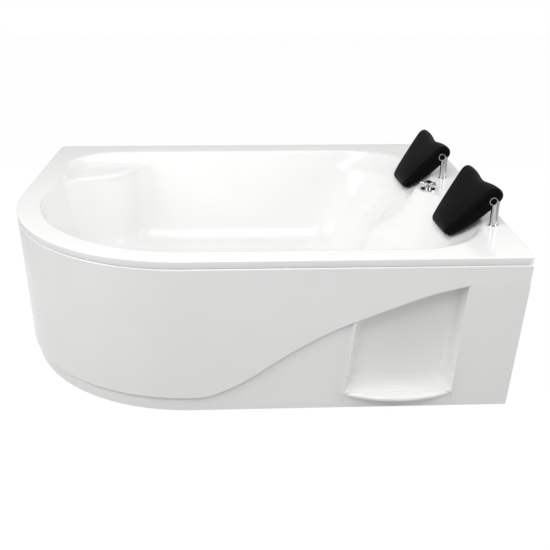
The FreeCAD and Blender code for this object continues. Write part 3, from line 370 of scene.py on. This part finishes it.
def basin_rows():
    """Rows of poles from the deck's edge down to the floor: below, inset, and inset at the seat end."""
    rows = [(share * edge_roll, -flare * edge_roll, -flare * edge_roll) for share, flare in roll_shares]
    rows += [(share * basin_depth, wall_draft * share * basin_depth, 0.0) for share in wall_shares]
    for degrees in floor_round_degrees:
        turn = math.radians(degrees)
        below = basin_depth - floor_round * (1 - math.sin(turn))
        rows.append((below, wall_draft * below + floor_round * (1 - math.cos(turn)), 0.0))
    rows.append((basin_depth, wall_draft * basin_depth + floor_round, 0.0))
    rows.append((basin_depth, wall_draft * basin_depth + floor_round + floor_run_in, floor_run_in))
    return rows


def basin_poles():
    """The grid of poles round and down the basin, with the ledge's rows spread over its width."""
    angles = np.arange(columns) * 2 * math.pi / columns
    ledge_row = (ledge_depth, wall_draft * ledge_depth, 0.0)
    outer = reaches(angles, ledge_row, True)
    inner = reaches(angles, ledge_row, False)
    share = np.clip((outer - inner) / ledge_fade, 0.0, 1.0)
    weight = share * share * (3 - 2 * share)
    ledge_first = 5
    lines = []
    for index, row in enumerate(basin_rows()):
        reach = reaches(angles, row, index < ledge_first)
        below = np.full(columns, row[0])
        step = index - ledge_first
        if 0 <= step < len(ledge_width_shares):
            reach = reach + weight * (inner + (outer - inner) * ledge_width_shares[step] - reach)
            below = below + weight * (ledge_depth * ledge_depth_shares[step] - below)
        along = tub_length / 2 + reach * np.cos(angles)
        across = tub_width / 2 + reach * np.sin(angles)
        lines.append(np.stack([along, across, below], axis=1))
    return np.stack(lines, axis=1)


def pushed_out(poles, wall):
    """The same poles moved outward by the sheet's thickness."""
    round_way = np.roll(poles, -1, 0) - np.roll(poles, 1, 0)
    down_way = np.zeros_like(poles)
    down_way[:, 1:-1] = poles[:, 2:] - poles[:, :-2]
    normal = np.cross(down_way, round_way)
    normal[:, 0] = normal[:, -1] = (0.0, 0.0, 1.0)
    normal /= np.linalg.norm(normal, axis=2, keepdims=True)
    centre = np.array([tub_length / 2, tub_width / 2, 0.0])
    outward = np.sum(normal * (poles - centre), axis=2, keepdims=True)
    normal = np.where((outward < 0) & (np.abs(normal[:, :, 2:]) < 0.999), -normal, normal)
    return poles + normal * wall


def from_deck(points):
    """Points given as along, across and below, in metres in the row's frame."""
    points = np.asarray(points, float).reshape(-1, 3)
    front = (shelf_bow - tub_width) / 2
    along, across, below = points.T
    return np.stack([along - tub_length / 2, across + front, deck_height - below], 1) * MM


def mesh_object(name, vertices, faces, smooth=True):
    """A mesh of these faces, as an object in the scene."""
    mesh = bpy.data.meshes.new(name)
    mesh.from_pydata([tuple(v) for v in vertices], [], faces)
    mesh.validate()
    mesh.polygons.foreach_set("use_smooth", [smooth] * len(mesh.polygons))
    thing = bpy.data.objects.new(name, mesh)
    bpy.context.scene.collection.objects.link(thing)
    return thing


def rim_loop(inset, below):
    """The bath's plan outline, drawn in from the lip's outside, which leans in at the front and left."""
    lean = inset + lip_lean * below / lip_drop
    near, far = lean, tub_width - inset
    left, right = lean, tub_length - inset
    corners = [(left, near, 1, 1, round_end_radius - lean, 180, 270, 72),
               (right, near, -1, 1, corner_radius - inset, 270, 360, 8),
               (right, far, -1, -1, corner_radius - inset, 0, 90, 8),
               (left, far, 1, -1, corner_radius - inset, 90, 180, 8)]
    points = []
    for along, across, way_along, way_across, radius, start, end, steps in corners:
        for step in range(steps + 1):
            turn = math.radians(start + (end - start) * step / steps)
            points.append((along + way_along * radius + radius * math.cos(turn),
                           across + way_across * radius + radius * math.sin(turn), below))
    spaced = []
    for here, there in zip(points, points[1:] + points[:1]):
        gap = math.dist(here, there)
        pieces = max(1, round(gap / rim_spacing))
        for piece in range(pieces):
            share = piece / pieces
            spaced.append(tuple(a + (b - a) * share for a, b in zip(here, there)))
    return spaced


def fill_between(build, outer, inner):
    """Flat faces between two closed loops of vertices."""
    edges = []
    for loop in (outer, inner):
        for here, there in zip(loop, loop[1:] + loop[:1]):
            edges.append(build.edges.get((here, there)) or build.edges.new((here, there)))
    bmesh.ops.triangle_fill(build, use_beauty=True, edges=edges)


def lip_section():
    """Places, as inset and below, from the deck round the lip's edge, down it, and up inside it."""
    turns = [math.radians(degrees) for degrees in (0, 15, 30, 45, 60, 75, 90)]
    edge = [(lip_edge_radius * (1 - math.sin(turn)), lip_edge_radius * (1 - math.cos(turn)))
            for turn in turns]
    down = [(0.0, lip_face_loop), (0.0, lip_drop - lip_end_round),
            (lip_end_round / 3, lip_drop - lip_end_round / 3), (lip_end_round, lip_drop)]
    up = [(sheet_wall, lip_drop), (sheet_wall, lip_inner_loop), (sheet_wall + 1.0, sheet_wall + 1.0),
          (sheet_wall + 3.0, sheet_wall), (deck_loop, sheet_wall)]
    return [(deck_loop, 0.0), (lip_inner_loop, 0.0)] + edge + down + up


def tub_shell():
    """The formed sheet: basin, deck and turned-down lip, as one closed skin."""
    poles = basin_poles()
    inner = spline_points(poles, *basin_steps)
    outer = spline_points(pushed_out(poles, sheet_wall), *basin_steps)
    build = bmesh.new()

    def grid(points):
        flat = from_deck(points)
        rows = points.shape[1]
        vertices = [build.verts.new(p) for p in flat]
        for quad in grid_quads(points.shape[0], rows):
            build.faces.new([vertices[i] for i in quad])
        top = [vertices[c * rows] for c in range(points.shape[0])]
        floor = [vertices[c * rows + rows - 1] for c in range(points.shape[0])]
        build.faces.new(floor)
        return top

    inner_top, outer_top = grid(inner), grid(outer)
    loops = [[build.verts.new(p) for p in from_deck(rim_loop(*place))] for place in lip_section()]
    for here, there in zip(loops, loops[1:]):
        count = len(here)
        for index in range(count):
            after = (index + 1) % count
            build.faces.new([here[index], there[index], there[after], here[after]])
    fill_between(build, loops[0], inner_top)
    fill_between(build, loops[-1], outer_top)
    bmesh.ops.recalc_face_normals(build, faces=build.faces)
    mesh = bpy.data.meshes.new("tub_shell_skin")
    build.to_mesh(mesh)
    build.free()
    mesh.polygons.foreach_set("use_smooth", [True] * len(mesh.polygons))
    thing = bpy.data.objects.new("tub_shell_skin", mesh)
    bpy.context.scene.collection.objects.link(thing)
    return thing


# Headrests

def pillow_point(shares):
    return shares[0] * pillow_reach, shares[1] * pillow_rise


pillow_outline = [pillow_point(shares) for shares in pillow_side_shares]
face_low, face_top = pillow_point(face_low_share), pillow_point(face_top_share)


def pillow_share(along, above):
    """How far up the headrest's face a place lies, from 0 at its foot to 1 at its top."""
    run, rise = face_top[0] - face_low[0], face_top[1] - face_low[1]
    return ((along - face_low[0]) * run + (above - face_low[1]) * rise) / (run * run + rise * rise)


def pillow_section(inset, crown, dip):
    """The headrest's outline from the side, drawn in at its ends, crowned, and dipped at its top."""
    points = []
    run, rise = face_top[0] - face_low[0], face_top[1] - face_low[1]
    length = math.hypot(run, rise)
    count = len(pillow_outline)
    for index, (along, above) in enumerate(pillow_outline):
        before = pillow_outline[index - 1]
        after = pillow_outline[(index + 1) % count]
        way_along, way_above = after[0] - before[0], after[1] - before[1]
        size = math.hypot(way_along, way_above)
        share = pillow_share(along, above)
        local = min(inset, pillow_tip_inset + share * inset) if inset > 0 else 0.0
        along += way_above / size * local
        above -= way_along / size * local
        top = min(max(share - pillow_dip_start_share, 0.0) / (1 - pillow_dip_start_share), 1.0)
        along -= dip * top * run / length
        above -= dip * top * rise / length
        if index in pillow_face_poles:
            along -= crown * rise / length
            above += crown * run / length
        points.append((along, above))
    return points


def pillow_poles(middle):
    """The headrest's grid of poles, wider at its top and turned in line with the seat end."""
    half_low, half_top = pillow_bottom_width / 2, pillow_top_width / 2
    turns = [math.radians(degrees) for degrees in pillow_round_degrees]
    ends = [(pillow_round * (1 - math.cos(turn)), pillow_round * math.sin(turn)) for turn in turns]
    rows = [(inset, -1.0, -past) for inset, past in ends]
    rows += [(0.0, share / 5, 0.0) for share in range(-5, 6)]
    rows += [(inset, 1.0, past) for inset, past in reversed(ends)]
    sections = []
    for inset, share, past in rows:
        crown = pillow_crown * (1 - share * share)
        dip = pillow_saddle * (0.5 + math.cos(math.pi * min(abs(share) / pillow_saddle_share, 1.0)) / 2)
        line = []
        for ahead, above in pillow_section(inset, crown, dip):
            half = half_low + (half_top - half_low) * pillow_share(ahead, above) - pillow_round
            reach = share * half + past
            along = ahead * math.cos(end_skew) - reach * math.sin(end_skew)
            across = ahead * math.sin(end_skew) + reach * math.cos(end_skew)
            line.append((post_along + end_shift(middle) + along, middle + across, -above))
        sections.append(line)
    return np.array(sections).transpose(1, 0, 2)


def headrest(name, middle):
    """One closed skin: the surface over the poles, and a flat end cap of quads on each side."""
    points = spline_points(pillow_poles(middle), *pillow_steps)
    count, rows = points.shape[:2]
    faces = grid_quads(count, rows)
    half = count // 2
    for row in (0, rows - 1):
        for step in range(half - 1):
            quad = [step, step + 1, count - 2 - step, count - 1 - step]
            faces.append([index * rows + row for index in (quad if row == 0 else reversed(quad))])
    thing = mesh_object(name, from_deck(points), faces)
    build = bmesh.new()
    build.from_mesh(thing.data)
    bmesh.ops.recalc_face_normals(build, faces=build.faces)
    build.to_mesh(thing.data)
    build.free()
    return thing


def main():
    acrylic = cast_acrylic("cast_acrylic_formed", "#f9f9f8", "#f5f5f4")
    # the apron's acrylic: the same sheet as the shell in a darker white, which paints the shade that falls
    # on the upright apron
    skirt_painted_shade = cast_acrylic("cast_acrylic_skirt_painted_shade", "#f0f0ef", "#ececeb")
    foam = moulded_foam("polyurethane_integral_foam")
    finishes = {
        "acrylic": acrylic, "skirt_acrylic": skirt_painted_shade, "moulded_foam": foam,
        # chrome plate over polished brass: a cool near mirror
        "chrome": metal("chrome_plated_brass", "#c6c8ca", 0.04, 0.08, 60.0),
        # powder coat baked on welded tube: an even satin grey with a fine peel
        "frame_steel": moulded("powder_coated_steel", "#a9abac", "#9b9d9f", 0.5, 1.5, 900.0, 0.0002),
        # zinc plate on pressed and turned steel: a soft bright grey, a little uneven
        "zinc_steel": metal("zinc_plated_steel", "#b9bab4", 0.28, 0.42, 300.0),
        "board": particle_board("resin_sealed_particle_board"),
        # nylon from a spark-eroded mould: near black, with a dry satin texture
        "black_plastic": moulded("moulded_nylon_black", "#1d1d1e", "#161617", 0.45, 1.53, 700.0, 0.0001),
        # polypropylene pipe and guide stock: milky white or pipe grey, waxy rather than glossy
        "white_plastic": moulded("moulded_polypropylene_white", "#e9e9e6", "#dddddb", 0.35, 1.49, 500.0,
                                 0.0001),
        "grey_plastic": moulded("moulded_polypropylene_grey", "#9a9c9e", "#8c8e90", 0.4, 1.49, 500.0,
                                0.0001),
        # rubber gaskets and foot pads: matt black with a dusty bloom
        "black_rubber": moulded("moulded_rubber_black", "#18181a", "#101011", 0.7, 1.52, 600.0, 0.0002),
        # brass turned on a lathe: warm yellow, with its polish drawn out in rings
        "brass": metal("turned_brass", "#d3b26a", 0.15, 0.25, 200.0, 8.0)}
    slots = {part["node"]: part["material_slot"] for part in frame["record"]["subparts"]}
    for node, thing in frame["nodes"].items():
        thing.data.materials.clear()
        thing.data.materials.append(finishes[slots[node]])

    shell = tub_shell()
    shell.data.materials.append(acrylic)
    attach(shell, "bath")
    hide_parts("tub_shell")

    for side, way in (("near", -1), ("far", 1)):
        rest = headrest("pillow_%s_pad" % side, seat_mid_across + way * seat_offset)
        rest.data.materials.append(foam)
        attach(rest, "pillow_" + side)
        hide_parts("pillow_" + side)


def camera():
    """The photograph's camera, fitted to the bath's outline: looking down by the pitch, to the right by
    the yaw."""
    pitch, yaw, roll = [math.radians(degrees) for degrees in camera_turns]
    forward = Vector((math.sin(yaw) * math.cos(pitch), math.cos(yaw) * math.cos(pitch), -math.sin(pitch)))
    right = Vector((math.cos(yaw), -math.sin(yaw), 0.0))
    down = forward.cross(right)
    tilted_right = right * math.cos(roll) + down * math.sin(roll)
    tilted_down = -right * math.sin(roll) + down * math.cos(roll)
    data = bpy.data.cameras.new("camera")
    data.sensor_width = 36.0
    data.lens = camera_lens
    data.clip_end = 50.0
    thing = bpy.data.objects.new("camera", data)
    bpy.context.scene.collection.objects.link(thing)
    turn = Matrix((tilted_right, -tilted_down, -forward)).transposed().to_4x4()
    thing.matrix_world = Matrix.Translation(at(*camera_place)) @ turn
    bpy.context.scene.camera = thing


def light(name, place, target, size, power):
    """A rectangular softbox that points at its target."""
    data = bpy.data.lights.new(name, "AREA")
    data.shape = "RECTANGLE"
    data.size, data.size_y = size
    data.energy = power
    thing = bpy.data.objects.new(name, data)
    bpy.context.scene.collection.objects.link(thing)
    thing.location = place
    thing.rotation_euler = (Vector(target) - Vector(place)).to_track_quat("-Z", "Y").to_euler()


def white_floor():
    """A pale floor that the camera sees as white but for the object's shadow. In gloss and chrome it is
    white near the object and falls off to the studio's grey further away."""
    material, tree = new_material("studio_floor")
    rays = add(tree, "ShaderNodeLightPath")
    place = add(tree, "ShaderNodeNewGeometry")
    away = add(tree, "ShaderNodeVectorMath", {"operation": "LENGTH"}, {0: place.outputs["Position"]})
    near = add(tree, "ShaderNodeMapRange", {1: 1.3, 2: 2.6, 3: 0.9, 4: 0.1}, {0: away.outputs["Value"]})
    gloss = add(tree, "ShaderNodeMath", {"operation": "MULTIPLY"},
                {0: rays.outputs["Is Glossy Ray"], 1: near.outputs[0]})
    seen = add(tree, "ShaderNodeMath", {"operation": "MAXIMUM"},
               {0: rays.outputs["Is Camera Ray"], 1: gloss.outputs[0]})
    share = add(tree, "ShaderNodeMath", {"operation": "MULTIPLY", 1: floor_glow_share},
                {0: seen.outputs[0]})
    paint = add(tree, "ShaderNodeBsdfDiffuse", {"Color": linear("#a8a8a8")})
    glow = add(tree, "ShaderNodeEmission", {"Color": linear("#ffffff"), "Strength": floor_glow})
    shader = add(tree, "ShaderNodeMixShader", {},
                 {0: share.outputs[0], 1: paint.outputs[0], 2: glow.outputs[0]})
    finish_material(tree, shader)
    return material


def studio_world():
    """A white backdrop for the camera. In gloss it is bright at head height, and dim at the horizon and
    under the ceiling, which gives chrome its dark streaks."""
    world = bpy.data.worlds.new("studio")
    bpy.context.scene.world = world
    world.use_nodes = True
    tree = world.node_tree
    tree.nodes.clear()
    rays = add(tree, "ShaderNodeLightPath")
    way = add(tree, "ShaderNodeTexCoord")
    height = add(tree, "ShaderNodeSeparateXYZ", {}, {0: way.outputs["Generated"]})
    rising = add(tree, "ShaderNodeMapRange", {1: 0.12, 2: 0.55, 3: 0.35, 4: 1.0},
                 {0: height.outputs["Z"]})
    ceiling = add(tree, "ShaderNodeMapRange", {1: 0.62, 2: 0.86, 3: 1.0, 4: 0.22},
                  {0: height.outputs["Z"]})
    gloss = add(tree, "ShaderNodeMath", {"operation": "MULTIPLY"},
                {0: rising.outputs[0], 1: ceiling.outputs[0]})
    light_share = add(tree, "ShaderNodeMix", {"data_type": "FLOAT", 2: backdrop_fill},
                      {0: rays.outputs["Is Glossy Ray"], 3: gloss.outputs[0]})
    strength = add(tree, "ShaderNodeMix", {"data_type": "FLOAT", 3: 1.0},
                   {0: rays.outputs["Is Camera Ray"], 2: light_share.outputs[0]})
    sky = add(tree, "ShaderNodeBackground", {"Color": linear("#ffffff")}, {"Strength": strength.outputs[0]})
    output = tree.nodes.new("ShaderNodeOutputWorld")
    tree.links.new(sky.outputs[0], output.inputs["Surface"])


def studio():
    corners = [(way * floor_reach, side * floor_reach, 0)
               for way, side in ((-1, -1), (1, -1), (1, 1), (-1, 1))]
    floor = mesh_object("floor", corners, [[0, 1, 2, 3]], False)
    floor.data.materials.append(white_floor())
    studio_world()
    for name, (place, target, size, power) in softboxes.items():
        light(name, place, target, size, power)
    bpy.context.scene.view_settings.view_transform = "Standard"


camera()
main()
studio()
